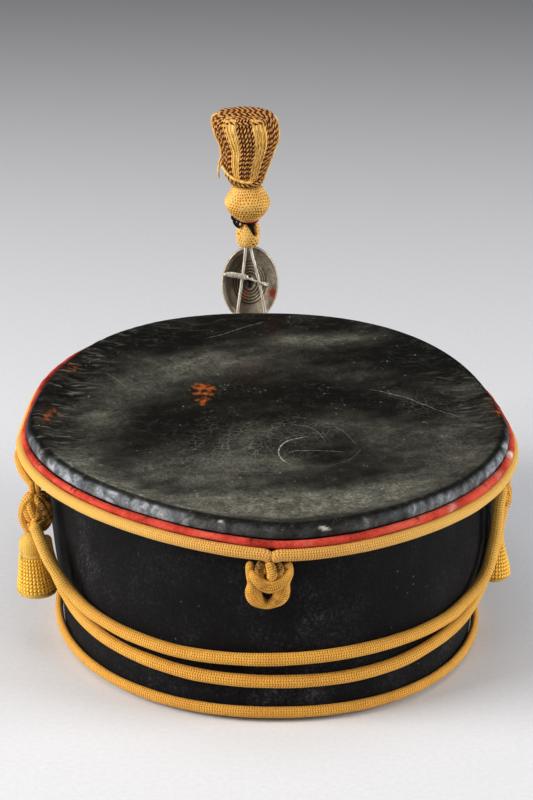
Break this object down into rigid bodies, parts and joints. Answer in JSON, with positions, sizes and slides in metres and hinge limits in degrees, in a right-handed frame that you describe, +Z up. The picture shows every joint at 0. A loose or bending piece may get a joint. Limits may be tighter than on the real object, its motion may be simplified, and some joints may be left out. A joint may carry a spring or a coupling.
{
  "type": "shako",
  "caption": "Low felt shako with a leather top, cord trim, side tassels, a peak and a badge plate under a netted plume.",
  "frame": {"origin": "middle of the footprint's box, on the surface that the felt's lower edge stands on", "axes": "+Y is the wearer's forward direction, where the badge and the peak are; +X is the wearer's right; +Z is up"},
  "size_m": [0.209, 0.2684, 0.1894],
  "materials": {
    "felt": "matte black wool felt with sparse lint",
    "top_leather": "worn black leather, dull grey in the dish and shiny at the rolled edge",
    "red_cloth": "matte red cloth piping",
    "braid": "golden yellow tubular braid with a herringbone stitch",
    "peak_leather": "plain black leather",
    "pewter": "dull grey white metal, tarnished in its grooves",
    "net": "knotted yellow cord net, and twisted yellow and black cords in the plume"
  },
  "bodies": {
    "root": {"crown_wall": "felt", "crown_lid": "top_leather", "rim_piping": "red_cloth", "rim_cord": "braid", "base_cord": "braid", "festoon_upper": "braid", "festoon_lower": "braid", "rear_loop": "braid", "left_knot": "braid", "right_knot": "braid", "left_tassel": "braid", "right_tassel": "braid", "peak": "peak_leather", "badge_socket": "peak_leather", "badge_wires": "pewter", "cockade": "pewter", "plume_bead": "net", "plume_bulb": "net", "plume_brush": "net"}
  },
  "joints": []
}
